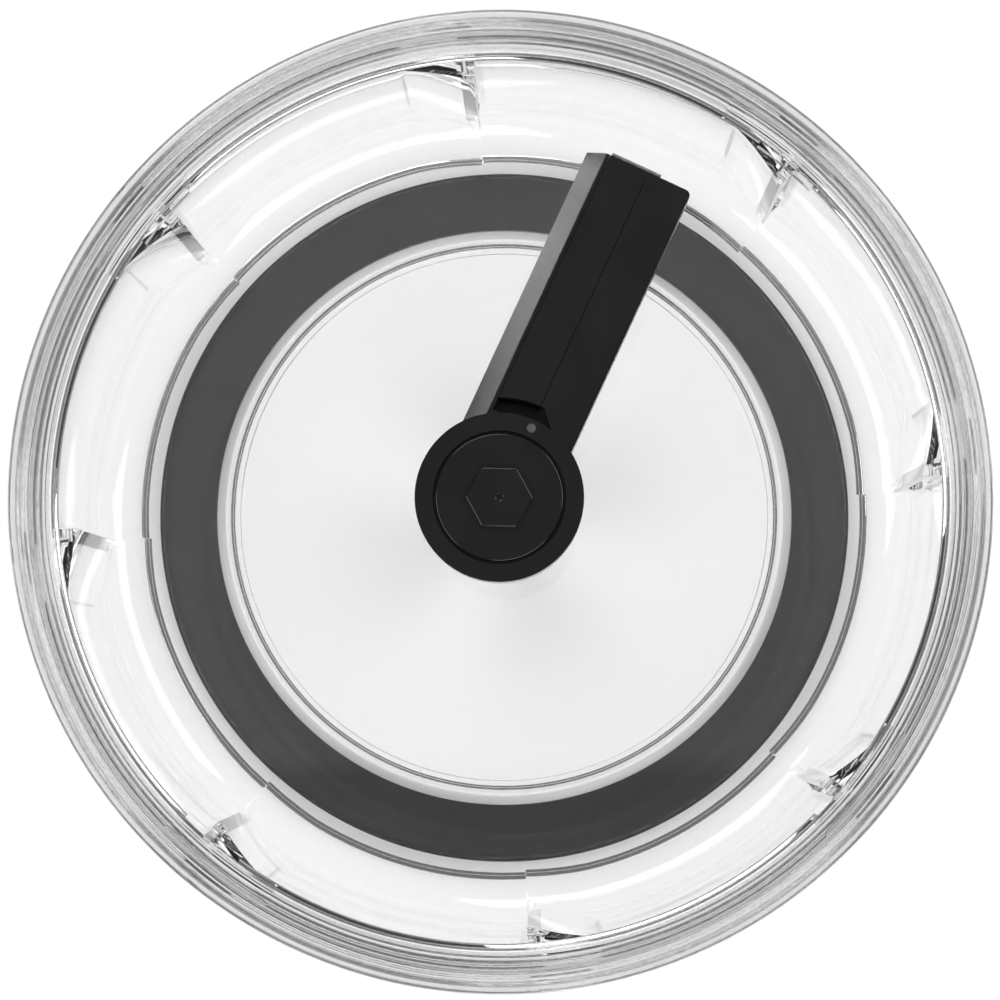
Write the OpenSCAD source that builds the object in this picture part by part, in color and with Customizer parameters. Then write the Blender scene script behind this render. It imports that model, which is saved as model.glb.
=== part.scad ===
// Direct-drive salad spinner.
// A clear bowl with outlet fins turns on a fixed base. The lid is keyed to the bowl, and the
// crank on the lid turns both. The grip of the crank folds flat into the arm.
// Frame: the origin is the middle of the foot's underside and +Z is up.

/* [Bowl] */
// Outer diameter over the rim of the bowl
rim_d = 260; // [252:1:270]
// Radius of the corner between the floor and the wall
corner_r = 13.4; // [10:0.2:14]
// Depth from the seat of the lid down to the floor
bowl_depth = 123; // [112:1:130]
// Thickness of the clear walls
wall = 2.4; // [2:0.1:3]
// Number of outlet fins around the wall
fin_count = 8; // [4:4:12]
// How far a fin stands in from the wall at its step
fin_depth = 5.7; // [4.4:0.1:6]
// Length of a fin around the wall, in degrees
fin_sweep = 10; // [8:0.5:14]
// Direction of the first fin's step, in degrees from +X
fin_angle = 3.5; // [0:0.5:10]

/* [Lid] */
// Thickness of the lid's plate
lid_t = 2.4; // [2:0.1:3]
// Width of a key, in degrees
key_sweep = 8.9; // [6:0.1:10]
// Direction of the first key, in degrees from +X
key_angle = 49.6; // [45:0.1:55]

/* [Crank] */
// Direction of the arm, in degrees from +X
arm_angle = 65.2; // [40:0.1:80]
// Reach of the arm from the middle of the hub to its tip
arm_l = 93; // [88:1:98]
// Width of the arm across its top
arm_w = 24.3; // [23.5:0.1:26]
// Height of the arm and the hub
arm_h = 20; // [20:0.5:23]
// How much further out the flared side stands at its foot
flare = 5.6; // [4:0.1:7]
// Diameter of the hub
hub_d = 44; // [43:0.5:46]
// Diameter of the groove around the hub's cap
groove_d = 33.9; // [32:0.1:34]

/* [Base] */
// Outer diameter of the foot ring
foot_d = 200; // [190:1:200]
// Width of the foot ring
foot_w = 16.4; // [14:0.1:18]
// Diameter of the spindle's journal
journal_d = 8; // [7:0.5:8]

/* [Hidden] */
$fn = 96;

// A hair of overlap, how far a cut runs past a face, and the play of running and of loose fits
eps = 0.1;
past = 1;
fit = 0.05;
loose = 0.1;

// Base: heights of its foot, plate and middle boss
foot_r = foot_d / 2;
foot_t = 4;
foot_lip = 0.8;
tread_w = 1.5;
tread_t = 1;
tread_at = [0.72, 0.36];
plate_t = 3;
plate_r = foot_r - foot_lip;
plate_z = 3.2;
plate_top = plate_z + plate_t;
track_r = 78.5;
track_w = 4;
track_t = 1;
boss_r = 14;
boss_z = 1.2;
boss_top = 9.5;

// Spindle: a threaded foot, a shoulder and a journal with a groove for the clip
thread_r = 3;
nut_r = 5.8;
nut_t = 4;
nut_z = 2;
nut_pocket_r = 7;
lock_t = 0.8;
shoulder_r = 8;
shoulder_t = 1.9;
shoulder_top = boss_top + shoulder_t;
journal_r = journal_d / 2;
thrust_t = 1;
clip_t = 0.8;
clip_groove = 0.8;
clip_r = 6.8;
clip_slot = 3.2;
thread_end = 0.4;

// Bowl: floor, corner, wall, tower and rim
floor_z = 13;
floor_under = floor_z - wall;
seat_z = floor_z + bowl_depth;
rim_r = rim_d / 2;
rim_t = 5.5;
rim_z = seat_z + rim_t;
lid_r = rim_r - 5.1;
seat_r = rim_r - 11.4;
upstand_r = lid_r + 0.3;
edge_t = 3.4;
edge_cut = 0.9;
gusset = 2;
wall_draft = 0.5;
wall_z0 = floor_z + corner_r;
wall_foot = seat_r - wall_draft;
corner_x = wall_foot - corner_r;
rib_w = 1.2;
rib_gap = 0.4;
skirt_r = corner_x + 0.3;
skirt_w = 2;
skirt_z = 5.2;
tower_r = 13;
spigot_r = 12;
tower_top = 38;
bush_r = 7;
bush_flange_r = 9.4;
bush_flange_t = 1.4;
bush_l = 6;
pocket_r = 10;
pocket_top = 14;
head_r = 9.6;
head_z = 34;
clip_z = head_z + bush_flange_t + 0.2;
journal_top = tower_top - 1.2;
journal_cone = 0.6;
cap_skirt_z = tower_top - 8;
cap_wall = 2;
seal_z = cap_skirt_z + 1;
seal_t = 1.6;
seal_r = tower_r + 0.9;

// Fins: each is a panel of the wall, folded in at a radial step and open behind
fin_top = seat_z - 11;
fin_foot = floor_z + 2;
fin_step = 360 / fin_count;
fin_extra = 3;
fin_reach = 20;
outlet_z = wall_z0 + wall;
outlet_top = fin_top - wall;

// Lid: plate, rim ring, drive pockets and keys
lid_gap = 0.2;
lid_under = seat_z + 1.6;
lid_top = lid_under + lid_t;
flange_r = seat_r - 0.6;
bead_in = rim_r - 10.9;
bead_out = rim_r - 7.5;
bead_top = lid_top + 1.4;
bead_slope = 0.4;
flange_top = lid_top + 0.6;
dog_angle = key_angle + 2.5;
dog_sweep = 15;
dog_t = 2.4;
dog_in = bead_in + 0.4;
dog_out = bead_out - 0.3;
dog_room = 0.5;
dog_turn_room = 0.8;
key_r = seat_r - 2.4;
key_t = 1.6;
key_drop = 6;
lock_count = 4;

// Hub: a hexagonal boss in a socket on the lid, under a cap in a round recess
arm_z = lid_top + 1;
arm_top = arm_z + arm_h;
hub_r = hub_d / 2;
groove_w = 0.8;
recess_r = groove_d / 2 + groove_w / 2;
cap_r = groove_d / 2 - groove_w / 2;
cap_t = 2.8;
recess_t = 3;
stud_r = 5;
stud_l = 4;
hex_r = 8.6;
hex_t = 1;
hex_turn = -1.4;
dimple_r = 1.2;
dimple_t = 0.6;
socket_r = 17;
socket_h = 9;
socket_play = 0.3;
gasket_play = 0.5;
gasket_inset = 0.2;
socket_gap = 0.4;
drive_r = 12;
insert_r = 3.5;
insert_l = 8;
insert_gap = 0.6;
screw_r = 2;
screw_head_r = 4;
screw_head_t = 2.4;
screw_play = 0.3;
screw_key_r = 1.5;
screw_key_t = 1.4;
screw_washer_r = 5.5;
screw_washer_t = 0.6;
screw_washer_play = 0.2;
pin_x = 19.8;
dowel_r = 1.2;
dowel_sink = 0.25;
dowel_floor = 0.6;
dowel_gap = 0.2;
dowel_cone = 0.5;

// Arm: one solid half, and a channel for the grip inside the flared side
half_w = arm_w / 2;
channel_w = 11.2;
channel_floor = 2.2;
seam = 0.15;
notch_w = 4;
notch_reach = 5.2;
notch_t = 7;
notch_y = 0.8;
notch_sink = 0.9;
hub_overlap = 2;
rail_wall = 2.2;
rail_pockets = 3;
rail_start = 5;
rail_stop = 4;
rail_roof = 4.2;
tip_round = 1.6;

// Hinge of the grip: a barrel on a pin across the arm
barrel_r = 8;
barrel_gap = 0.25;
barrel_room = 0.4;
hinge_x = arm_l + 2 - barrel_r;
hinge_z = arm_z + barrel_r;
barrel_y0 = -2.9;
washer_room = 0.8;
spring_r = 5;
spring_t = 0.6;
hinge_pin_r = 2;
hinge_pin_y0 = -10.5;
hinge_pin_y1 = 13.2;
plug_r = 3;
hinge_bush_r = 3.2;

// Grip: a hollow bar with a plate on its underside
grip_gap = 0.3;
grip_y0 = 2 * seam;
grip_y1 = channel_w - seam;
grip_x0 = hub_r + notch_w;
grip_z = arm_z + channel_floor + grip_gap;
grip_shell = 2;
relief_r = 6;
cover_t = 1.6;
cover_step = 1;
cover_x0 = grip_x0 + 8;
cover_x1 = hinge_x - barrel_r - 2.5;
grip_screw_r = 1;
grip_screw_l = 8.9;
grip_screw_head_t = 0.9;
grip_boss_r = 2.4;
grip_screw_head_r = 1.9;
grip_screw_x = [cover_x0 + 5, cover_x1 - 5];

// A flat ring that stands on z
module ring(r_in, r_out, z, h) {
  translate([0, 0, z])
    difference() {
      cylinder(r = r_out, h = h);
      translate([0, 0, -eps]) cylinder(r = r_in, h = h + 2 * eps);
    }
}

// A stretch of a ring, sweep degrees long and centred on the angle mid
module arc_block(r_in, r_out, z, h, sweep, mid) {
  rotate([0, 0, mid - sweep / 2])
    rotate_extrude(angle = sweep)
      translate([r_in, z]) square([r_out - r_in, h]);
}

// A cylinder along Y in the arm's frame, at the hinge
module hinge_bar(r, y0, y1) {
  translate([hinge_x, y0, hinge_z]) rotate([-90, 0, 0]) cylinder(r = r, h = y1 - y0);
}

// A block from one corner to the other
module block(low, high) {
  translate(low) cube(high - low);
}

// Outline of the corner and wall, moved outward by out
function bowl_curve(out) = concat(
  [for (a = [-90 : 6 : 0])
    [corner_x + (corner_r + out) * cos(a), wall_z0 + (corner_r + out) * sin(a)]],
  [[seat_r + out, seat_z]]
);

function reversed(list) = [for (i = [len(list) - 1 : -1 : 0]) list[i]];

module bowl_shell() {
  rotate_extrude()
    polygon(concat([[0, floor_under]], bowl_curve(wall), reversed(bowl_curve(0)), [[0, floor_z]]));
}

// All that lies within the middle of the bowl's corner and wall
module bowl_filled() {
  rotate_extrude()
    polygon(concat([[0, floor_under]], bowl_curve(wall / 2), [[0, seat_z]]));
}

module bowl_rim() {
  rotate_extrude()
    polygon([
      [seat_r, seat_z], [seat_r + eps, seat_z - wall - gusset],
      [seat_r + wall, seat_z - wall - gusset], [seat_r + wall + gusset, seat_z - wall],
      [upstand_r + wall, seat_z - wall],
      [upstand_r + wall, rim_z - edge_t], [rim_r - edge_cut, rim_z - edge_t],
      [rim_r, rim_z - edge_t + edge_cut], [rim_r, rim_z - edge_cut],
      [rim_r - edge_cut, rim_z], [upstand_r, rim_z], [upstand_r, seat_z]
    ]);
}

// The room between the plane of a fin's panel, moved outward by out, and a round face
module fin_room(out, r_out, z0, z1) {
  panel_r = seat_r - fin_depth;
  turn = atan2(seat_r * sin(fin_sweep), seat_r * cos(fin_sweep) - panel_r);
  intersection() {
    rotate_extrude(angle = fin_sweep + fin_extra)
      translate([panel_r - past, z0]) square([r_out - panel_r + past, z1 - z0]);
    translate([panel_r + out / sin(turn), 0, z0 - past])
      rotate([0, 0, turn - 90]) translate([0, -fin_reach, 0])
        cube([fin_reach, 3 * fin_reach, z1 - z0 + 2 * past]);
  }
}

module at_each_fin() {
  for (i = [0 : fin_count - 1]) rotate([0, 0, fin_angle + i * fin_step]) children();
}

module bowl() {
  track_top = plate_top + track_t;
  color("azure", 0.35)
    difference() {
      union() {
        bowl_shell();
        bowl_rim();
        intersection() {
          bowl_filled();
          at_each_fin() fin_room(0, seat_r + wall, fin_foot, fin_top);
        }
        ring(track_r - rib_w / 2, track_r + rib_w / 2, track_top + rib_gap,
             floor_under - track_top - rib_gap + eps);
        ring(skirt_r - skirt_w, skirt_r, skirt_z, floor_under - skirt_z + eps);
        for (i = [0 : lock_count - 1])
          arc_block(dog_in, dog_out, seat_z - eps, dog_t + eps, dog_sweep,
                    dog_angle + i * 360 / lock_count);
      }
      translate([0, 0, floor_under - eps]) cylinder(r = spigot_r, h = wall + 2 * eps);
      at_each_fin() fin_room(wall, seat_r + wall + 2 * past, outlet_z, outlet_top);
    }
}

// The tower that holds both bushes, welded into the hole of the floor
module bearing_housing() {
  color("azure", 0.5)
    difference() {
      union() {
        translate([0, 0, floor_under]) cylinder(r = spigot_r, h = tower_top - floor_under);
        ring(spigot_r - past, tower_r, floor_z, tower_top - floor_z);
      }
      translate([0, 0, floor_under - eps]) cylinder(r = pocket_r, h = pocket_top - floor_under + eps);
      translate([0, 0, floor_under]) cylinder(r = bush_r, h = tower_top);
      translate([0, 0, head_z]) cylinder(r = head_r, h = tower_top);
    }
}

module foot_ring() {
  color("dimgray")
    difference() {
      union() {
        ring(foot_r - foot_w, foot_r, 0, foot_t);
        ring(plate_r, foot_r, foot_t - eps, plate_top - foot_t + eps);
      }
      for (at = tread_at)
        ring(foot_r - foot_w * at, foot_r - foot_w * at + tread_w, -eps, tread_t + eps);
    }
}

module base_plate() {
  color("azure", 0.35)
    difference() {
      union() {
        translate([0, 0, plate_z]) cylinder(r = plate_r, h = plate_t);
        ring(track_r - track_w / 2, track_r + track_w / 2, plate_top - eps, track_t + eps);
        translate([0, 0, boss_z]) cylinder(r = boss_r, h = boss_top - boss_z);
      }
      ring(foot_r - foot_w, foot_r, plate_z - eps, foot_t - plate_z + eps);
      translate([0, 0, boss_z - eps])
        cylinder(r = nut_pocket_r, h = nut_z + nut_t + lock_t - boss_z + eps);
      cylinder(r = thread_r, h = boss_top + past);
    }
}

module spindle() {
  color("silver")
    difference() {
      union() {
        translate([0, 0, nut_z - thread_end])
          cylinder(r = thread_r, h = boss_top - nut_z + thread_end + eps);
        translate([0, 0, boss_top]) cylinder(r = shoulder_r, h = shoulder_t);
        translate([0, 0, shoulder_top - eps])
          cylinder(r = journal_r, h = journal_top - shoulder_top + eps);
        translate([0, 0, journal_top])
          cylinder(r1 = journal_r, r2 = journal_r - journal_cone, h = journal_cone);
      }
      ring(journal_r - clip_groove, journal_r + past, clip_z, clip_t);
    }
}

module spindle_nut() {
  color("silver")
    difference() {
      translate([0, 0, nut_z]) cylinder(r = nut_r, h = nut_t, $fn = 6);
      cylinder(r = thread_r, h = boss_top);
    }
}

module spindle_washer() {
  color("gray") ring(thread_r, nut_r, nut_z + nut_t, lock_t);
}

module thrust_washer() {
  color("white") ring(journal_r + loose, shoulder_r, shoulder_top, thrust_t);
}

module retaining_clip() {
  color("slategray")
    difference() {
      ring(journal_r - clip_groove, clip_r, clip_z, clip_t);
      block([0, -clip_slot / 2, clip_z - eps], [clip_r + past, clip_slot / 2, clip_z + clip_t + eps]);
    }
}

module lower_bush() {
  color("ivory")
    difference() {
      union() {
        translate([0, 0, pocket_top - bush_flange_t]) cylinder(r = bush_flange_r, h = bush_flange_t);
        translate([0, 0, pocket_top - eps]) cylinder(r = bush_r, h = bush_l + eps);
      }
      cylinder(r = journal_r + fit, h = tower_top);
    }
}

module upper_bush() {
  color("ivory")
    difference() {
      union() {
        translate([0, 0, head_z]) cylinder(r = bush_flange_r, h = bush_flange_t);
        translate([0, 0, head_z - bush_l]) cylinder(r = bush_r, h = bush_l + eps);
      }
      cylinder(r = journal_r + fit, h = tower_top);
    }
}

module spindle_cap() {
  color("azure", 0.5)
    difference() {
      rotate_extrude()
        polygon([
          [0, cap_skirt_z], [tower_r + cap_wall, cap_skirt_z], [tower_r + cap_wall, tower_top],
          [tower_r, tower_top + cap_wall], [0, tower_top + cap_wall]
        ]);
      translate([0, 0, cap_skirt_z - eps]) cylinder(r = tower_r, h = tower_top - cap_skirt_z + eps);
      translate([0, 0, seal_z]) cylinder(r = seal_r, h = seal_t);
    }
}

module cap_seal() {
  color("dimgray") ring(tower_r, seal_r, seal_z, seal_t);
}

module lid_body() {
  translate([0, 0, lid_under]) cylinder(r = flange_r + past, h = lid_t);
  rotate_extrude()
    polygon([
      [flange_r, seat_z + lid_gap], [lid_r, seat_z + lid_gap], [lid_r, flange_top],
      [bead_out + bead_slope, flange_top], [bead_out, bead_top], [bead_in, bead_top],
      [bead_in - bead_slope, lid_top], [flange_r, lid_top]
    ]);
  for (i = [0 : lock_count - 1])
    arc_block(key_r, key_r + key_t, lid_under - key_drop, key_drop + eps, key_sweep,
              key_angle + i * 360 / lock_count);
  translate([0, 0, lid_top - eps]) cylinder(r = socket_r, h = socket_h + eps);
}

module lid() {
  color("azure", 0.35)
    difference() {
      lid_body();
      for (i = [0 : lock_count - 1])
        arc_block(bead_in, bead_out + loose, seat_z, dog_t + dog_room, dog_sweep + dog_turn_room,
                  dog_angle + i * 360 / lock_count);
      rotate([0, 0, arm_angle]) {
        translate([0, 0, lid_top]) cylinder(r = drive_r, h = socket_h + past, $fn = 6);
        translate([pin_x, 0, lid_under + dowel_floor]) cylinder(r = dowel_r, h = lid_t);
      }
      translate([0, 0, lid_under - eps]) cylinder(r = screw_r + screw_play, h = lid_t + past);
    }
}

// Cross-section of the arm, looking along it: upright on one side, flared on the other
module arm_section() {
  polygon([
    [-half_w, arm_z], [half_w + flare, arm_z], [half_w, arm_top], [-half_w, arm_top]
  ]);
}

module arm_beam() {
  intersection() {
    rotate([90, 0, 90]) linear_extrude(arm_l) arm_section();
    linear_extrude(arm_top + past)
      union() {
        translate([0, -half_w + tip_round]) square([arm_l, arm_w + flare]);
        translate([0, -half_w]) square([arm_l - tip_round, arm_w]);
        translate([arm_l - tip_round, -half_w + tip_round]) circle(r = tip_round);
      }
  }
}

// The grip's channel, open at the tip, with a floor that stops short of the barrel
module grip_channel() {
  floor_end = hinge_x - barrel_r - barrel_room;
  difference() {
    union() {
      block([hub_r - hub_overlap, seam, arm_z + channel_floor],
            [arm_l + past, channel_w, arm_top + past]);
      block([floor_end, seam, arm_z - past], [arm_l + past, channel_w, arm_top + past]);
      translate([0, 0, arm_top - notch_t])
        linear_extrude(notch_t + past)
          polygon([
            [grip_x0, seam + eps], [grip_x0, -notch_y], [hub_r - notch_sink, -notch_reach],
            [hub_r - hub_overlap, seam + eps]
          ]);
    }
    cylinder(r = hub_r, h = arm_top + 2 * past);
  }
}

// Hollows in the underside of the arm's solid half
module rail_hollows() {
  x0 = hub_r + rail_start;
  x1 = hinge_x - barrel_r - rail_stop;
  pitch = (x1 - x0) / rail_pockets;
  for (i = [0 : rail_pockets - 1])
    block([x0 + i * pitch + rail_wall / 2, -half_w + rail_wall, arm_z - eps],
          [x0 + (i + 1) * pitch - rail_wall / 2, seam - rail_wall, arm_top - rail_roof]);
}

module crank_arm() {
  color("dimgray")
    rotate([0, 0, arm_angle])
      difference() {
        union() {
          translate([0, 0, arm_z]) cylinder(r = hub_r, h = arm_h);
          arm_beam();
          translate([0, 0, lid_top]) cylinder(r = drive_r - loose, h = socket_h, $fn = 6);
        }
        grip_channel();
        rail_hollows();
        hinge_bar(barrel_r + barrel_gap, barrel_y0 - washer_room, seam + eps);
        hinge_bar(hinge_pin_r, -half_w - past, hinge_pin_y1);
        hinge_bar(plug_r, -half_w - past, hinge_pin_y0 - loose);
        translate([0, 0, arm_z - eps])
          difference() {
            cylinder(r = socket_r + socket_play, h = socket_h - arm_z + lid_top + socket_gap);
            cylinder(r = drive_r - loose, h = socket_h, $fn = 6);
          }
        translate([0, 0, lid_top - eps]) cylinder(r = insert_r, h = insert_l + 2 * past);
        translate([0, 0, arm_top - recess_t]) cylinder(r = recess_r, h = recess_t + past);
        translate([0, 0, arm_top - recess_t - stud_l]) cylinder(r = stud_r, h = stud_l + past);
        translate([pin_x, 0, arm_z - eps]) cylinder(r = dowel_r, h = arm_h + past);
        translate([pin_x, 0, arm_top + eps - dowel_cone])
          cylinder(r1 = dowel_r, r2 = dowel_r + dowel_cone, h = dowel_cone);
      }
}

module hub_cap() {
  color("dimgray")
    difference() {
      union() {
        translate([0, 0, arm_top - cap_t]) cylinder(r = cap_r, h = cap_t);
        translate([0, 0, arm_top - cap_t - stud_l])
          cylinder(r = stud_r, h = stud_l + recess_t - cap_t);
        translate([0, 0, arm_top - eps]) rotate([0, 0, hex_turn])
          cylinder(r = hex_r, h = hex_t + eps, $fn = 6);
      }
      translate([0, 0, arm_top + hex_t - dimple_t]) cylinder(r = dimple_r, h = dimple_t + past);
    }
}

module hub_insert() {
  color("goldenrod") ring(screw_r + fit, insert_r, lid_top + insert_gap, insert_l);
}

module hub_screw() {
  head_under = lid_under - screw_washer_t;
  color("silver")
    difference() {
      union() {
        translate([0, 0, head_under - screw_head_t]) cylinder(r = screw_head_r, h = screw_head_t);
        translate([0, 0, head_under - eps]) cylinder(r = screw_r, h = lid_t + insert_l);
      }
      translate([0, 0, head_under - screw_head_t - eps]) 
        cylinder(r = screw_key_r, h = screw_key_t, $fn = 6);
    }
}

module screw_washer() {
  color("silver")
    ring(screw_r + screw_washer_play, screw_washer_r, lid_under - screw_washer_t, screw_washer_t);
}

module hub_gasket() {
  color("black")
    difference() {
      ring(socket_r + gasket_play, hub_r - gasket_inset, lid_top, arm_z - lid_top);
      rotate([0, 0, arm_angle]) translate([pin_x, 0, lid_top - eps])
        cylinder(r = dowel_r + fit, h = arm_z - lid_top + 2 * eps);
    }
}

module locating_pin() {
  color("darkgray")
    rotate([0, 0, arm_angle])
      translate([pin_x, 0, lid_under + dowel_floor + dowel_gap])
        cylinder(r = dowel_r, h = arm_top - dowel_sink - lid_under - dowel_floor - dowel_gap);
}

module hinge_pin() {
  color("silver")
    rotate([0, 0, arm_angle]) hinge_bar(hinge_pin_r, hinge_pin_y0, hinge_pin_y1 - loose);
}

module pin_plug() {
  color("dimgray")
    rotate([0, 0, arm_angle]) hinge_bar(plug_r, -half_w, hinge_pin_y0 - loose);
}

module friction_washer() {
  y0 = barrel_y0 - washer_room;
  color("slategray")
    rotate([0, 0, arm_angle])
      difference() {
        hinge_bar(spring_r, y0, y0 + spring_t);
        hinge_bar(hinge_pin_r, y0 - eps, y0 + past);
      }
}

module grip_body() {
  color("dimgray")
    rotate([0, 0, arm_angle])
      difference() {
        union() {
          block([hub_r, grip_y0, grip_z], [arm_l, grip_y1, arm_top]);
          hinge_bar(barrel_r, barrel_y0, grip_y1);
        }
        cylinder(r = grip_x0, h = arm_top + past);
        translate([grip_x0 - past, 0, grip_z + past])
          rotate([-90, 0, 0]) cylinder(r = relief_r, h = channel_w);
        hinge_bar(hinge_bush_r, barrel_y0 - eps, grip_y1 + eps);
        block([cover_x0, grip_y0 + cover_step, grip_z - eps],
              [cover_x1, grip_y1 - cover_step, grip_z + cover_t]);
        difference() {
          block([cover_x0 + cover_step, grip_y0 + grip_shell, grip_z + cover_t - eps],
                [cover_x1 - cover_step, grip_y1 - grip_shell, arm_top - grip_shell]);
          for (x = grip_screw_x) translate([x, (grip_y0 + grip_y1) / 2, grip_z])
            cylinder(r = grip_boss_r, h = arm_h);
        }
        for (x = grip_screw_x) translate([x, (grip_y0 + grip_y1) / 2, grip_z])
          cylinder(r = grip_screw_r, h = grip_screw_l + 3 * loose);
      }
}

module grip_cover() {
  color("dimgray")
    rotate([0, 0, arm_angle])
      difference() {
        block([cover_x0 + loose, grip_y0 + cover_step + loose, grip_z],
              [cover_x1 - loose, grip_y1 - cover_step - loose, grip_z + cover_t]);
        for (x = grip_screw_x) translate([x, (grip_y0 + grip_y1) / 2, grip_z - eps]) {
          cylinder(r = grip_screw_r + loose, h = cover_t + past);
          cylinder(r = grip_screw_head_r + loose, h = grip_screw_head_t + loose + eps);
        }
      }
}

module grip_screws() {
  color("silver")
    rotate([0, 0, arm_angle])
      for (x = grip_screw_x) translate([x, (grip_y0 + grip_y1) / 2, grip_z + loose]) {
        cylinder(r = grip_screw_head_r, h = grip_screw_head_t);
        cylinder(r = grip_screw_r, h = grip_screw_l);
      }
}

module hinge_bush() {
  color("ivory")
    rotate([0, 0, arm_angle])
      difference() {
        hinge_bar(hinge_bush_r, barrel_y0, grip_y1);
        hinge_bar(hinge_pin_r + fit, barrel_y0 - eps, grip_y1 + eps);
      }
}

foot_ring();
base_plate();
spindle();
spindle_nut();
spindle_washer();
thrust_washer();
retaining_clip();
bowl();
bearing_housing();
lower_bush();
upper_bush();
spindle_cap();
cap_seal();
lid();
crank_arm();
hub_cap();
hub_insert();
hub_screw();
screw_washer();
hub_gasket();
locating_pin();
hinge_pin();
pin_plug();
friction_washer();
grip_body();
grip_cover();
grip_screws();
hinge_bush();
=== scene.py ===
"""Looks of the salad spinner: meshes, materials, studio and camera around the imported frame."""

import math

import bmesh
import bpy
from mathutils import Matrix, Vector


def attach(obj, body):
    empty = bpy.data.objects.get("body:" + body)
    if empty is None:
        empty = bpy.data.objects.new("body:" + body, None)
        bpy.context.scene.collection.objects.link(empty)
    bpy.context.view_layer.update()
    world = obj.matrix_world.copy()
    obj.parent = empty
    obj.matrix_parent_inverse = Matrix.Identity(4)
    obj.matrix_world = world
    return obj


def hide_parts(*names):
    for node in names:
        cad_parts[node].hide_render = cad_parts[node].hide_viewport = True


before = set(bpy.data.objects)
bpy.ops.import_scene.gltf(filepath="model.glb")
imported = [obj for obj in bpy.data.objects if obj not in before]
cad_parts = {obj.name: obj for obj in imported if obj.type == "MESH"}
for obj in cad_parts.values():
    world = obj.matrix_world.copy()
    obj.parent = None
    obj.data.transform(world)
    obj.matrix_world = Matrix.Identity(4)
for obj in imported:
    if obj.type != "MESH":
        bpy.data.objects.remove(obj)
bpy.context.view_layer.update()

MM = 0.001
TURN = 2 * math.pi

# Sizes in millimetres, the same as the CAD's
SEAT_Z = 136.0
FLOOR_Z = 13.0
SEAT_R = 118.6
WALL_T = 2.4
CORNER_R = 13.4
CORNER_X = 104.7
WALL_FOOT = 118.1
WALL_Z0 = 26.4
RIM_Z = 141.5
RIM_R = 130.0
RIM_OUT = 127.6
UPSTAND_R = RIM_OUT - WALL_T
EDGE_Z = RIM_Z - 3.4
FLOOR_UNDER = 10.6
HOLE_R = 12.0
LID_TOP = 140.0
LID_UNDER = 137.6
LID_R = 124.9
LID_SEAT = SEAT_Z + 0.2
FLANGE_TOP = LID_TOP + 0.6
BEAD_TOP = LID_TOP + 1.4
SOCKET_R = 17.0
SOCKET_TOP = 149.0
DRIVE_TOP = 150.0
PLATE_Z = 3.2
PLATE_TOP = 6.2
TRACK_TOP = 7.2
TRACK_IN = 76.5
TRACK_OUT = 80.5
BOSS_R = 14.0
BOSS_Z = 1.2
BOSS_TOP = 9.5
NUT_POCKET_R = 7.0
NUT_POCKET_Z = 6.8
FOOT_IN = 83.6
FOOT_R = 100.0
FOOT_LIP = 99.2
TREAD_T = 0.9
TOWER_TOP = 38.0
HEAD_Z = 34.0
BUSH_R = 7.0
POCKET_Z = 14.0
POCKET_R = 10.0
ARM_Z = 141.0
ARM_TOP = 161.0
ARM_L = 93.0
ARM_HALF = 12.15
FLARE = 5.6
SEAM = 0.15
CHANNEL_W = 11.2
HUB_RECESS_Z = 158.0
HUB_RECESS_R = 17.35
GRIP_IN = 0.3
GRIP_OUT = 11.05
PIN_X = 19.8
HUB_R = 22.0
HINGE = Vector((87.0, 0.0, 149.0))
BARREL_R = 8.0
ARM_ANGLE = math.radians(65.2)
KEY_ANGLE = math.radians(49.6)
DOG_ANGLE = math.radians(52.1)
LOCK_COUNT = 4
FIN_COUNT = 8
FIN_ANGLE = math.radians(3.5)
FIN_TOP = 125.0
FIN_DEPTH = 5.7


# ---------------------------------------------------------------- mesh helpers


def finish_mesh(bm, name, smooth=38.0):
    """The bmesh as a mesh with outward normals, smooth but for edges sharper than smooth degrees."""
    bmesh.ops.remove_doubles(bm, verts=bm.verts, dist=1e-6)
    bmesh.ops.dissolve_degenerate(bm, edges=bm.edges, dist=1e-7)
    bmesh.ops.recalc_face_normals(bm, faces=bm.faces)
    mesh = bpy.data.meshes.new(name)
    bm.to_mesh(mesh)
    bm.free()
    mesh.shade_smooth()
    mesh.set_sharp_from_angle(angle=math.radians(smooth))
    return mesh


def filleted(points):
    """A closed outline of (x, y) or (x, y, fillet) points with its corners rounded."""
    out = []
    count = len(points)
    for i, point in enumerate(points):
        here = Vector(point[:2])
        radius = point[2] if len(point) > 2 else 0
        before = (Vector(points[i - 1][:2]) - here)
        after = (Vector(points[(i + 1) % count][:2]) - here)
        if not radius:
            out.append(here)
            continue
        a, b = before.normalized(), after.normalized()
        half = a.angle(b) / 2
        reach = min(radius / math.tan(half), before.length * 0.49, after.length * 0.49)
        radius = reach * math.tan(half)
        middle = here + (a + b).normalized() * (radius / math.sin(half))
        start = here + a * reach - middle
        end = here + b * reach - middle
        sweep = start.angle_signed(end)
        steps = max(2, min(8, round(abs(sweep) / math.radians(18))))
        for k in range(steps + 1):
            angle = -sweep * k / steps
            turned = Matrix.Rotation(angle, 2) @ start
            out.append(middle + turned)
    return out


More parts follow.
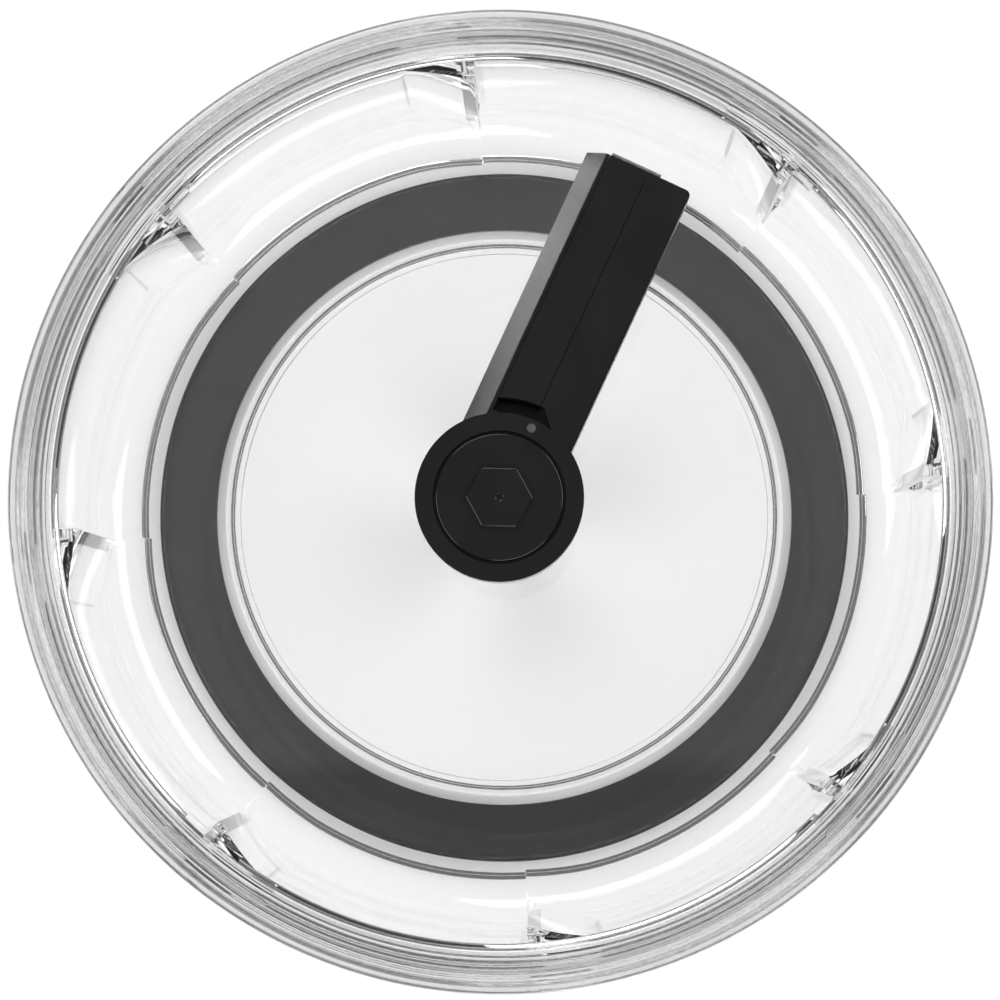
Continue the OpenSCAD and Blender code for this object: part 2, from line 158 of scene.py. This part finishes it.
def revolved(profile, name, steps=288, smooth=38.0):
    """A closed (r, z) profile in millimetres turned about Z."""
    bm = bmesh.new()
    rows = []
    for r, z in filleted(profile):
        if r < 1e-6:
            rows.append([bm.verts.new((0, 0, z * MM))] * steps)
        else:
            rows.append([
                bm.verts.new((r * MM * math.cos(TURN * k / steps), r * MM * math.sin(TURN * k / steps), z * MM))
                for k in range(steps)
            ])
    for i, row in enumerate(rows):
        other = rows[(i + 1) % len(rows)]
        for k in range(steps):
            corners = [row[k], row[(k + 1) % steps], other[(k + 1) % steps], other[k]]
            unique = list(dict.fromkeys(corners))
            if len(unique) > 2:
                bm.faces.new(unique)
    return finish_mesh(bm, name, smooth)


def extruded(outline, low, high, name, axis="Z"):
    """An outline in millimetres extruded from low to high. Along X the outline is (y, z), along Y it is (x, z)."""
    place = {
        "Z": lambda p, h: (p[0] * MM, p[1] * MM, h * MM),
        "X": lambda p, h: (h * MM, p[0] * MM, p[1] * MM),
        "Y": lambda p, h: (p[0] * MM, h * MM, p[1] * MM),
    }[axis]
    bm = bmesh.new()
    outline = filleted(outline)
    loops = [[bm.verts.new(place(p, h)) for p in outline] for h in (low, high)]
    for i in range(len(outline)):
        j = (i + 1) % len(outline)
        bm.faces.new([loops[0][i], loops[0][j], loops[1][j], loops[1][i]])
    bm.faces.new(loops[0])
    bm.faces.new(loops[1])
    return finish_mesh(bm, name)


def circle(radius, steps=64, x=0.0, y=0.0):
    return [(x + radius * math.cos(TURN * k / steps), y + radius * math.sin(TURN * k / steps)) for k in range(steps)]


def rectangle(x0, y0, x1, y1, fillet=0.0):
    return [(x0, y0, fillet), (x1, y0, fillet), (x1, y1, fillet), (x0, y1, fillet)]


def carved(name, start, steps, bevel=0.0, segments=3, limit=35.0):
    """start joined with or cut by the meshes in steps, then rounded along its edges when bevel is given."""
    helper = bpy.data.objects.new(name, start)
    bpy.context.scene.collection.objects.link(helper)
    tools = []
    for operation, mesh in steps:
        tool = bpy.data.objects.new("tool", mesh)
        bpy.context.scene.collection.objects.link(tool)
        tools.append(tool)
        modifier = helper.modifiers.new(operation, "BOOLEAN")
        modifier.operation = operation
        modifier.solver = "EXACT"
        modifier.object = tool
    if bevel:
        merged = helper.modifiers.new("merged", "DECIMATE")
        merged.decimate_type = "DISSOLVE"
        merged.angle_limit = math.radians(0.3)
        rounding = helper.modifiers.new("rounding", "BEVEL")
        rounding.width = bevel * MM
        rounding.segments = segments
        rounding.limit_method = "ANGLE"
        rounding.angle_limit = math.radians(limit)
        rounding.miter_outer = "MITER_ARC"
        rounding.use_clamp_overlap = True
    evaluated = helper.evaluated_get(bpy.context.evaluated_depsgraph_get())
    mesh = bpy.data.meshes.new_from_object(evaluated)
    mesh.name = name
    for obj in [helper, *tools]:
        bpy.data.objects.remove(obj)
    return mesh


def piece(name, mesh, body, slot, material, *nodes, sharp=38.0):
    """An object made of mesh that rides on body and stands for the CAD nodes."""
    mesh.shade_smooth()
    mesh.set_sharp_from_angle(angle=math.radians(sharp))
    obj = bpy.data.objects.new(name, mesh)
    bpy.context.scene.collection.objects.link(obj)
    obj.modifiers.new("normals", "WEIGHTED_NORMAL").keep_sharp = True
    mesh.materials.clear()
    mesh.materials.append(material)
    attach(obj, body)
    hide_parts(*nodes)
    return obj


def passes_light(obj):
    """Clear pieces hold back no light from the lamps."""
    obj.visible_shadow = False
    obj.visible_diffuse = False


# ---------------------------------------------------------------- materials


class Paint:
    """A material with a Principled shader and short calls for the nodes that feed it."""

    def __init__(self, name):
        self.material = bpy.data.materials.new(name)
        self.material.use_nodes = True
        self.tree = self.material.node_tree
        self.shader = self.tree.nodes["Principled BSDF"]
        self.place = self.tree.nodes.new("ShaderNodeTexCoord").outputs["Object"]

    def set(self, **values):
        for key, value in values.items():
            self.shader.inputs[key.replace("_", " ")].default_value = value
        return self

    def link(self, source, socket):
        self.tree.links.new(source, self.shader.inputs[socket])

    def stretched(self, x, y, z):
        node = self.tree.nodes.new("ShaderNodeMapping")
        node.inputs["Scale"].default_value = (x, y, z)
        self.tree.links.new(self.place, node.inputs["Vector"])
        return node.outputs["Vector"]

    def noise(self, scale, detail=4.0, place=None):
        node = self.tree.nodes.new("ShaderNodeTexNoise")
        node.inputs["Scale"].default_value = scale
        node.inputs["Detail"].default_value = detail
        self.tree.links.new(place or self.place, node.inputs["Vector"])
        return node.outputs["Fac"]

    def distance_from_axis(self):
        """Distance from the axis that the bowl turns about, in metres."""
        node = self.tree.nodes.new("ShaderNodeVectorMath")
        node.operation = "MULTIPLY"
        node.inputs[1].default_value = (1, 1, 0)
        self.tree.links.new(self.place, node.inputs[0])
        length = self.tree.nodes.new("ShaderNodeVectorMath")
        length.operation = "LENGTH"
        self.tree.links.new(node.outputs["Vector"], length.inputs[0])
        return length.outputs["Value"]

    def span(self, source, from_low, from_high, to_low, to_high):
        node = self.tree.nodes.new("ShaderNodeMapRange")
        for key, value in zip(("From Min", "From Max", "To Min", "To Max"), (from_low, from_high, to_low, to_high)):
            node.inputs[key].default_value = value
        self.tree.links.new(source, node.inputs["Value"])
        return node.outputs["Result"]

    def math(self, operation, a, b):
        node = self.tree.nodes.new("ShaderNodeMath")
        node.operation = operation
        for socket, value in zip(node.inputs, (a, b)):
            if isinstance(value, (int, float)):
                socket.default_value = value
            else:
                self.tree.links.new(value, socket)
        return node.outputs[0]

    def blend(self, factor, a, b):
        """Colour a where factor is 0 and b where it is 1."""
        node = self.tree.nodes.new("ShaderNodeMix")
        node.data_type = "RGBA"
        node.inputs[6].default_value = (*a, 1)
        node.inputs[7].default_value = (*b, 1)
        self.tree.links.new(factor, node.inputs[0])
        return node.outputs[2]

    def bump(self, height, strength, distance):
        node = self.tree.nodes.new("ShaderNodeBump")
        node.inputs["Strength"].default_value = strength
        node.inputs["Distance"].default_value = distance * MM
        self.tree.links.new(height, node.inputs["Height"])
        self.link(node.outputs["Normal"], "Normal")


def clear_plastic():
    """Clear moulded plastic with faint flow waves and fine scratches, and painted shade greying it in a ring at the
    rims.
    """
    paint = Paint("clear_plastic")
    paint.set(Transmission_Weight=1.0, IOR=1.53)
    # Painted shade: the base colour greys from near white to 0.74 in a ring 119.5 to 122.5 mm off the axis, where the
    # rims lie. The same ring mask calms the flow-wave bump.
    painted_rim_shade = paint.span(paint.distance_from_axis(), 0.1195, 0.1225, 0, 1)
    paint.link(paint.blend(painted_rim_shade, (0.999, 1.0, 1.0), (0.74, 0.745, 0.745)), "Base Color")
    scratches = paint.noise(900, 2, paint.stretched(1, 9, 1))
    paint.link(paint.span(scratches, 0.45, 0.75, 0.008, 0.03), "Roughness")
    calm = paint.span(painted_rim_shade, 0, 1, 1, 0.15)
    paint.bump(paint.math("MULTIPLY", paint.noise(22, 1), calm), 0.1, 0.4)
    return paint.material


def black_plastic():
    """Black moulded plastic with a fine satin grain and handling marks."""
    paint = Paint("black_plastic")
    grain = paint.noise(5200, 2)
    marks = paint.noise(60, 5)
    worn = paint.span(marks, 0.45, 0.75, 0, 1)
    paint.link(paint.blend(worn, (0.0098, 0.0098, 0.0102), (0.0125, 0.0125, 0.013)), "Base Color")
    paint.link(paint.span(marks, 0.3, 0.7, 0.13, 0.2), "Roughness")
    paint.set(IOR=1.5)
    paint.bump(grain, 0.25, 0.02)
    return paint.material


def black_silicone():
    """Dull black rubber with a light dusting and a soft skin."""
    paint = Paint("black_silicone")
    dust = paint.noise(140, 6)
    dusty = paint.span(dust, 0.4, 0.7, 0, 1)
    paint.link(paint.blend(dusty, (0.007, 0.007, 0.007), (0.012, 0.012, 0.012)), "Base Color")
    paint.link(paint.span(dust, 0.3, 0.7, 0.5, 0.62), "Roughness")
    paint.set(IOR=1.33)
    paint.bump(paint.noise(1800, 3), 0.3, 0.03)
    return paint.material


def metal(name, colour, roughness, stretch=(1, 1, 1)):
    """Turned or pressed metal: fine tool lines across stretch, and small stains."""
    paint = Paint(name)
    lines = paint.noise(700, 3, paint.stretched(*stretch))
    stains = paint.noise(90, 5)
    dark = tuple(c * 0.75 for c in colour)
    paint.link(paint.blend(paint.span(stains, 0.35, 0.7, 0, 1), colour, dark), "Base Color")
    paint.link(paint.span(lines, 0.3, 0.7, roughness * 0.8, roughness * 1.4), "Roughness")
    paint.set(Metallic=1.0)
    paint.bump(lines, 0.2, 0.01)
    return paint.material


def white_acetal():
    """Waxy white bearing plastic with faint turning marks."""
    paint = Paint("white_acetal")
    marks = paint.noise(1500, 2, paint.stretched(1, 1, 6))
    paint.link(paint.blend(paint.noise(80, 4), (0.8, 0.79, 0.75), (0.72, 0.71, 0.67)), "Base Color")
    paint.link(paint.span(marks, 0.3, 0.7, 0.28, 0.4), "Roughness")
    paint.set(Subsurface_Weight=0.1)
    paint.bump(marks, 0.15, 0.01)
    return paint.material


CLEAR = clear_plastic()
BLACK = black_plastic()
RUBBER = black_silicone()
STEEL = metal("steel", (0.62, 0.62, 0.61), 0.22, (1, 1, 8))
SPRING = metal("spring_steel", (0.42, 0.42, 0.43), 0.3)
ACETAL = white_acetal()
BRASS = metal("brass", (0.68, 0.48, 0.2), 0.25, (1, 1, 8))


# ---------------------------------------------------------------- bowl


def wall_r(z):
    """Radius of the bowl's inner wall at a height."""
    return WALL_FOOT + (SEAT_R - WALL_FOOT) * max(0.0, z - WALL_Z0) / (SEAT_Z - WALL_Z0)


def folded(r, z, side, share):
    """Radius of a profile point where a fin folds the shell in by a share of its depth."""
    if not side:
        return r
    top, slope = (FIN_TOP + 0.5, 0.5) if side > 0 else (FIN_TOP - 0.5, 5.0)
    ledge = min(1.0, max(0.0, (top - z) / slope))
    panel = wall_r(z) + (WALL_T if side < 0 else 0) - FIN_DEPTH * share * ledge
    return min(r - JOG * share * ledge, panel)


# Columns across one fin: arc length from the step and share of the fin's depth, inside and outside
WEB = 2.0
RAMP_L = 20.5
JOG = 0.7


def ramp(u):
    """Share of the depth that is left at arc length u from the step."""
    t = min(1.0, max(0.0, u / RAMP_L))
    return (1 - t) ** 1.15


def fin_columns():
    """All columns from one fin's step to the next, close together where the shell bends."""
    near = [
        ((-2.4, 0.0), (-1.6, 0.0)), ((-1.0, 0.0), (0.0, 0.0)), ((-0.35, 0.03), (1.0, 0.0)),
        ((-0.05, 0.12), (1.6, 0.0)), ((0.0, 0.4), (WEB - 0.1, 0.03)), ((0.0, 0.8), (WEB, 0.12)),
        ((0.06, 0.92), (WEB, 0.4)), ((0.35, ramp(0.35) - 0.005), (WEB, 0.7)),
        ((0.9, ramp(0.9)), (WEB + 0.15, ramp(WEB + 0.15) - 0.03)),
        ((1.8, ramp(1.8)), (WEB + 0.6, ramp(WEB + 0.6))),
        ((2.9, ramp(2.9)), (WEB + 1.4, ramp(WEB + 1.4))),
    ]
    columns = near + [((u, ramp(u)), (u, ramp(u))) for u in (5.2, 7.0, 9.5, 13.0, 16.5, 19.0, 20.5)]
    period = TURN / FIN_COUNT * WALL_FOOT
    u = 23.0
    while u < period - 3.6:
        columns.append(((u, 0.0), (u, 0.0)))
        u += 2.6
    return columns


def bowl_profile():
    """Closed (r, z, side) outline of the shell; side is +1 inside the wall and -1 outside, where the fins fold it."""
    turns = [math.radians(a) for a in range(-84, 1, 6)]
    inside = [(CORNER_X + CORNER_R * math.cos(a), WALL_Z0 + CORNER_R * math.sin(a), 1) for a in turns]
    inside += [(wall_r(z), z, 1) for z in (40, 70, 100, 118, 123, FIN_TOP, FIN_TOP + 0.5, 130.0, 133.5)]
    out_r = CORNER_R + WALL_T
    outside = [(CORNER_X + out_r * math.cos(a), WALL_Z0 + out_r * math.sin(a), -1) for a in turns]
    outside += [(wall_r(z) + WALL_T, z, -1) for z in (40, 70, 100, 116, 119.5, 121.2, 122.9, 124.5, 127.5)]
    rim = filleted([
        (SEAT_R, SEAT_Z, 0.8), (UPSTAND_R, SEAT_Z, 0.6), (UPSTAND_R, RIM_Z - 1.0, 0.4),
        (125.9, RIM_Z, 0.5), (RIM_R, RIM_Z, 1.6), (RIM_R, EDGE_Z, 1.0), (RIM_OUT, EDGE_Z, 0.8),
        (RIM_OUT, SEAT_Z - WALL_T, 1.2),
        (SEAT_R + WALL_T + 2, SEAT_Z - WALL_T, 1.5), (SEAT_R + WALL_T, SEAT_Z - WALL_T - 2.6, 0.8),
    ])
    floor_in = [(r, FLOOR_Z, 0) for r in (HOLE_R, 40.0, 70.0, 90.0, CORNER_X)]
    rib = [(77.9, FLOOR_UNDER), (77.9, 8.3), (78.45, 7.75), (78.55, 7.75), (79.1, 8.3), (79.1, FLOOR_UNDER)]
    skirt = [
        (102.95, FLOOR_UNDER), (103.0, 6.25), (103.95, 5.3), (104.05, 5.3), (105.0, 6.25), (105.0, FLOOR_UNDER),
    ]
    under = [(HOLE_R, FLOOR_UNDER, 0), *[(r, z, 0) for r, z in rib], (95.0, FLOOR_UNDER, 0)]
    under += [(r, z, 1) for r, z in skirt]
    return [*floor_in, *inside, *[(p.x, p.y, 0) for p in rim], *reversed(outside), *reversed(under)]


def bowl_mesh():
    """The profile set out at every column of every fin and joined into one closed shell."""
    profile = bowl_profile()
    bm = bmesh.new()
    rings = []
    for fin in range(FIN_COUNT):
        start = FIN_ANGLE + TURN * fin / FIN_COUNT
        for inner, outer in fin_columns():
            ring = []
            for r, z, side in profile:
                u, share = outer if side < 0 else inner
                radius = folded(r, z, side, share)
                angle = start + u / WALL_FOOT
                ring.append(bm.verts.new((radius * MM * math.cos(angle), radius * MM * math.sin(angle), z * MM)))
            rings.append(ring)
    for k, ring in enumerate(rings):
        after = rings[(k + 1) % len(rings)]
        for i in range(len(profile)):
            j = (i + 1) % len(profile)
            bm.faces.new([ring[i], after[i], after[j], ring[j]])
    return finish_mesh(bm, "bowl_shell", 42)


def outlet_cutter(fin):
    """The opening between the wall and the free edge of one fin."""
    inner = WALL_FOOT - FIN_DEPTH + WALL_T + 0.3
    mesh = extruded(rectangle(inner, WALL_Z0 + 2.4, WALL_FOOT, 118.8, 1.4), -1.0, 3.2, "outlet", "Y")
    mesh.transform(Matrix.Rotation(FIN_ANGLE + TURN * fin / FIN_COUNT, 4, "Z"))
    return mesh


def arc_mesh(r0, r1, z0, z1, middle, sweep, name, steps=16):
    """A stretch of a ring with a rectangular section, sweep and middle in radians."""
    bm = bmesh.new()
    loops = []
    for k in range(steps + 1):
        a = middle + sweep * (k / steps - 0.5)
        loops.append([
            bm.verts.new((r * MM * math.cos(a), r * MM * math.sin(a), z * MM))
            for r, z in ((r0, z0), (r1, z0), (r1, z1), (r0, z1))
        ])
    for a, b in zip(loops, loops[1:]):
        for i in range(4):
            bm.faces.new([a[i], b[i], b[(i + 1) % 4], a[(i + 1) % 4]])
    bm.faces.new(loops[0])
    bm.faces.new(loops[-1])
    return finish_mesh(bm, name)


def make_bowl():
    """Shell with an outlet at each fin and four dogs on the seat that lock the lid."""
    steps = [("DIFFERENCE", outlet_cutter(fin)) for fin in range(FIN_COUNT)]
    for k in range(LOCK_COUNT):
        turn = DOG_ANGLE + k * TURN / LOCK_COUNT
        dog = arc_mesh(119.5, 122.2, SEAT_Z - 0.3, SEAT_Z + 2.4, turn, math.radians(15), "dog")
        steps.append(("UNION", dog))
    mesh = carved("bowl_shell", bowl_mesh(), steps)
    passes_light(piece("bowl_shell", mesh, "bowl", "clear_plastic", CLEAR, "bowl"))


def make_bearing_housing():
    """Tower in the floor's hole that holds both bushes."""
    profile = [
        (POCKET_R, FLOOR_UNDER, 0.3), (11.95, FLOOR_UNDER, 0.3), (11.95, 13.05), (13.0, 13.05),
        (13.0, TOWER_TOP, 0.6), (9.6, TOWER_TOP, 0.4), (9.6, HEAD_Z, 0.2), (BUSH_R, HEAD_Z, 0.3),
        (BUSH_R, POCKET_Z, 0.3), (POCKET_R, POCKET_Z, 0.2),
    ]
    mesh = revolved(profile, "housing_shell", 144)
    passes_light(piece("housing_shell", mesh, "bowl", "clear_plastic", CLEAR, "bearing_housing"))


# ---------------------------------------------------------------- lid


def make_lid():
    """Plate with rim rings and a socket for the hub, four keys below and four pockets for the bowl's dogs."""
    profile = [
        (0, LID_UNDER), (SEAT_R - 1.6, LID_UNDER, 0.6), (118.0, LID_SEAT, 0.4), (LID_R, LID_SEAT, 0.9),
        (LID_R, LID_TOP - 0.6, 0.4), (LID_R - 0.9, FLANGE_TOP, 0.5), (123.3, FLANGE_TOP, 0.4),
        (122.3, BEAD_TOP, 0.6), (119.4, BEAD_TOP, 0.6), (118.9, LID_TOP, 0.6),
        (SOCKET_R, LID_TOP, 0.6), (SOCKET_R, SOCKET_TOP, 0.6), (0, SOCKET_TOP),
    ]
    body = revolved(profile, "lid_shell", 360)
    drive = extruded(circle(12.0, 6), LID_TOP, DRIVE_TOP, "drive")
    drive.transform(Matrix.Rotation(ARM_ANGLE, 4, "Z"))
    steps = [("DIFFERENCE", drive), ("DIFFERENCE", extruded(circle(2.3, 24), LID_UNDER - 1, LID_TOP + 1, "hole"))]
    for k in range(LOCK_COUNT):
        turn = k * TURN / LOCK_COUNT
        key = arc_mesh(116.2, 117.8, LID_UNDER - 6, LID_UNDER + 0.3, KEY_ANGLE + turn, math.radians(8.9), "key")
        pocket = arc_mesh(119.1, 122.6, SEAT_Z - 1, SEAT_Z + 2.9, DOG_ANGLE + turn, math.radians(15.8), "pocket")
        steps += [("UNION", key), ("DIFFERENCE", pocket)]
    mesh = carved("lid_shell", body, steps)
    passes_light(piece("lid_shell", mesh, "lid", "clear_plastic", CLEAR, "lid"))


# ---------------------------------------------------------------- base


def make_base():
    """Clear plate with a boss and a track, and the rubber foot around its edge."""
    profile = [
        (0, BOSS_TOP), (0, NUT_POCKET_Z), (NUT_POCKET_R, NUT_POCKET_Z), (NUT_POCKET_R, BOSS_Z),
        (BOSS_R, BOSS_Z, 0.6), (BOSS_R, PLATE_Z, 0.5), (83.5, PLATE_Z), (83.5, 4.0), (99.1, 4.0),
        (99.1, PLATE_TOP, 0.6), (TRACK_OUT, PLATE_TOP, 0.5), (TRACK_OUT, TRACK_TOP, 0.6),
        (TRACK_IN, TRACK_TOP, 0.6), (TRACK_IN, PLATE_TOP, 0.5), (BOSS_R, PLATE_TOP, 1.0), (BOSS_R, BOSS_TOP, 0.6),
    ]
    mesh = revolved(profile, "base_shell", 288)
    passes_light(piece("base_shell", mesh, "base", "clear_plastic", CLEAR, "base_plate"))
    ring = [
        (FOOT_IN, 0, 0.6), (88.0, 0), (88.3, TREAD_T), (89.5, TREAD_T), (89.8, 0), (93.9, 0), (94.2, TREAD_T),
        (95.4, TREAD_T), (95.7, 0), (FOOT_R, 0, 0.8), (FOOT_R, PLATE_TOP, 0.3), (FOOT_LIP, PLATE_TOP, 0.3),
        (FOOT_LIP, 3.95), (FOOT_IN, 3.95, 0.3),
    ]
    piece("foot_band", revolved(ring, "foot_band", 288), "base", "black_silicone", RUBBER, "foot_ring")


# ---------------------------------------------------------------- crank


def turned_to_arm(mesh):
    """The mesh turned from +X to the arm's direction."""
    mesh.transform(Matrix.Rotation(ARM_ANGLE, 4, "Z"))
    return mesh


def bar(radius, y0, y1, name):
    """A cylinder along the hinge of the grip."""
    return extruded(circle(radius, 96, HINGE.x, HINGE.z), y0, y1, name, "Y")


def make_arm():
    """Hub and arm: solid on one side, with a channel for the grip inside the flared side."""
    section = [
        (-ARM_HALF, ARM_Z, 0.5), (ARM_HALF + FLARE, ARM_Z, 0.3), (ARM_HALF, ARM_TOP, 1.0), (SEAM, ARM_TOP),
        (-5.0, ARM_TOP - 0.05), (-9.0, ARM_TOP - 0.22), (-ARM_HALF, ARM_TOP - 0.5, 0.7),
    ]
    beam = extruded(section, 4.0, ARM_L, "beam", "X")
    plan = [(0, 30), (0, -ARM_HALF), (ARM_L, -ARM_HALF, 1.6), (ARM_L, 30)]
    trim = extruded(plan, ARM_Z - 5, ARM_TOP + 5, "trim")
    drive = extruded(circle(11.9, 6), LID_TOP, 150.6, "drive")
    core = extruded(circle(17.2, 96), ARM_Z - 2, 150.4, "core")
    recess = extruded(circle(HUB_RECESS_R, 192), HUB_RECESS_Z, ARM_TOP + 2, "recess")
    floor_end = HINGE.x - BARREL_R - 0.4
    groove = extruded(rectangle(HUB_R - 2, SEAM, ARM_L + 2, CHANNEL_W), ARM_Z + 2.2, ARM_TOP + 2, "groove")
    mouth = extruded(rectangle(floor_end, SEAM, ARM_L + 2, CHANNEL_W), ARM_Z - 2, ARM_TOP + 2, "mouth")
    notch = extruded([(26, 0.3), (26, -0.8), (HUB_R - 0.9, -5.2), (HUB_R - 2, 0.3)], 154.0, ARM_TOP + 2, "notch")
    keep = extruded(circle(HUB_R, 192), ARM_Z, ARM_TOP, "keep")
    steps = [
        ("INTERSECT", trim), ("DIFFERENCE", groove), ("DIFFERENCE", mouth), ("DIFFERENCE", notch),
        ("DIFFERENCE", bar(BARREL_R + 0.25, -3.7, 0.3, "barrel_room")), ("UNION", keep),
        ("DIFFERENCE", recess), ("DIFFERENCE", core), ("UNION", drive),
        ("DIFFERENCE", extruded(circle(3.5, 32), LID_TOP - 1, DRIVE_TOP, "insert_hole")),
        ("DIFFERENCE", extruded(circle(1.25, 32, PIN_X), ARM_Z - 1, ARM_TOP + 1, "pin_hole")),
        ("DIFFERENCE", bar(2.0, -13.0, 13.2, "hinge_hole")), ("DIFFERENCE", bar(3.0, -13.2, -10.6, "plug_hole")),
    ]
    mesh = carved("crank_shell", beam, steps, bevel=0.35)
    piece("crank_shell", turned_to_arm(mesh), "lid", "black_plastic", BLACK, "crank_arm", sharp=12)


def make_hub_cap():
    """Disc in the hub's recess with a raised hexagon and a dimple."""
    disc = revolved([(0, 158.2), (16.55, 158.2, 0.3), (16.55, ARM_TOP, 0.35), (0, ARM_TOP)], "disc", 192)
    hexagon = extruded([(x, y, 0.5) for x, y in circle(8.6, 6)], ARM_TOP - 0.5, ARM_TOP + 1.0, "hexagon")
    hexagon.transform(Matrix.Rotation(math.radians(-1.4), 4, "Z"))
    dimple = revolved([(0, ARM_TOP + 0.4), (0.9, ARM_TOP + 0.4), (1.2, ARM_TOP + 2), (0, ARM_TOP + 2)], "dimple", 32)
    mesh = carved("hub_cover", disc, [("UNION", hexagon), ("DIFFERENCE", dimple)], bevel=0.22, segments=2)
    piece("hub_cover", mesh, "lid", "black_plastic", BLACK, "hub_cap", sharp=12)


def make_grip():
    """Bar that folds into the arm, with the barrel of its hinge at the tip."""
    beam = extruded(rectangle(HUB_R, GRIP_IN, ARM_L, GRIP_OUT), 143.5, ARM_TOP, "grip_beam")
    barrel = bar(BARREL_R, -2.9, GRIP_OUT, "barrel")
    clear = extruded(circle(26.0, 128), 140.0, ARM_TOP + 2, "clear")
    relief = extruded(circle(6.0, 64, 25.0, 144.5), -1.0, 12.0, "relief", "Y")
    bore = bar(3.2, -4.0, 12.0, "bore")
    recess = extruded(rectangle(34.0, GRIP_IN + 1, 76.5, GRIP_OUT - 1), 140.0, 145.1, "recess")
    steps = [
        ("UNION", barrel), ("DIFFERENCE", clear), ("DIFFERENCE", relief), ("DIFFERENCE", bore),
        ("DIFFERENCE", recess),
    ]
    mesh = carved("grip_shell", beam, steps, bevel=0.4)
    piece("grip_shell", turned_to_arm(mesh), "grip", "black_plastic", BLACK, "grip_body", sharp=12)


# ---------------------------------------------------------------- small parts


def finish_small_parts():
    """The CAD's turned and pressed parts keep their shape and get a real finish."""
    finishes = {
        STEEL: ["spindle", "spindle_nut", "hub_screw", "screw_washer", "locating_pin", "hinge_pin", "grip_screws",
                "spindle_washer"],
        SPRING: ["retaining_clip", "friction_washer"],
        BRASS: ["hub_insert"],
        ACETAL: ["thrust_washer", "lower_bush", "upper_bush", "hinge_bush"],
        RUBBER: ["cap_seal", "hub_gasket"],
        BLACK: ["pin_plug", "grip_cover"],
        CLEAR: ["spindle_cap"],
    }
    for material, names in finishes.items():
        for name in names:
            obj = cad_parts[name]
            for slot in obj.material_slots:
                slot.link = "OBJECT"
                slot.material = material
            if material is CLEAR:
                passes_light(obj)


# ---------------------------------------------------------------- studio


def make_studio():
    """Pale floor, four softboxes around the object and a weak card overhead."""
    bm = bmesh.new()
    bmesh.ops.create_grid(bm, x_segments=8, y_segments=8, size=3.0)
    floor = bpy.data.objects.new("studio_floor", finish_mesh(bm, "studio_floor"))
    floor.location.z = -0.0004
    bpy.context.scene.collection.objects.link(floor)
    paper = Paint("floor_paper")
    paper.link(paper.blend(paper.noise(8, 3), (0.93, 0.93, 0.93), (0.95, 0.95, 0.95)), "Base Color")
    paper.set(Roughness=0.9, Specular_IOR_Level=0.2)
    floor.data.materials.append(paper.material)

    world = bpy.data.worlds.new("studio")
    world.use_nodes = True
    world.node_tree.nodes["Background"].inputs["Color"].default_value = (0.08, 0.08, 0.08, 1)
    bpy.context.scene.world = world

    for azimuth in (20, 110, 200, 290):
        softbox("softbox", azimuth, 42, 1.0, (0.7, 0.5), 4.25)
    overhead = softbox("overhead", 90, 90, 1.7, (2.4, 1.6), 1.1)
    overhead.location.y += 0.7


def softbox(name, azimuth, elevation, distance, size, energy):
    """A rectangular lamp that looks at the object from a direction in degrees."""
    data = bpy.data.lights.new(name, "AREA")
    data.shape = "RECTANGLE"
    data.size, data.size_y = size
    data.energy = energy
    light = bpy.data.objects.new(name, data)
    a, e = math.radians(azimuth), math.radians(elevation)
    back = Vector((math.cos(a) * math.cos(e), math.sin(a) * math.cos(e), math.sin(e)))
    light.location = back * distance
    light.rotation_euler = back.to_track_quat("Z", "Y").to_euler()
    bpy.context.scene.collection.objects.link(light)
    return light


def make_camera():
    """Straight down from 1.3 m, a little below the middle of the picture."""
    data = bpy.data.cameras.new("camera")
    data.sensor_width = 36
    data.angle = math.radians(11.56)
    data.clip_start, data.clip_end = 0.05, 20
    camera = bpy.data.objects.new("camera", data)
    target = Vector((0, 0, RIM_Z * MM))
    camera.location = target + Vector((0.0116, -0.048, 1.3))
    back = (camera.location - target).normalized()
    right = Vector((0, 1, 0)).cross(back).normalized()
    up = back.cross(right)
    turn = Matrix((right, up, back)).transposed().to_4x4()
    camera.rotation_euler = turn.to_euler()
    bpy.context.scene.collection.objects.link(camera)
    bpy.context.scene.camera = camera


def set_light_paths():
    """Clear walls lie up to twelve deep, so rays need many passes through them."""
    scene = bpy.context.scene
    scene.view_settings.view_transform = "Standard"
    scene.view_settings.look = "None"
    scene.cycles.max_bounces = 40
    scene.cycles.transmission_bounces = 36
    scene.cycles.glossy_bounces = 12
    scene.cycles.diffuse_bounces = 3
    scene.cycles.transparent_max_bounces = 12


make_bowl()
make_bearing_housing()
make_lid()
make_base()
make_arm()
make_hub_cap()
make_grip()
finish_small_parts()
make_studio()
make_camera()
set_light_paths()
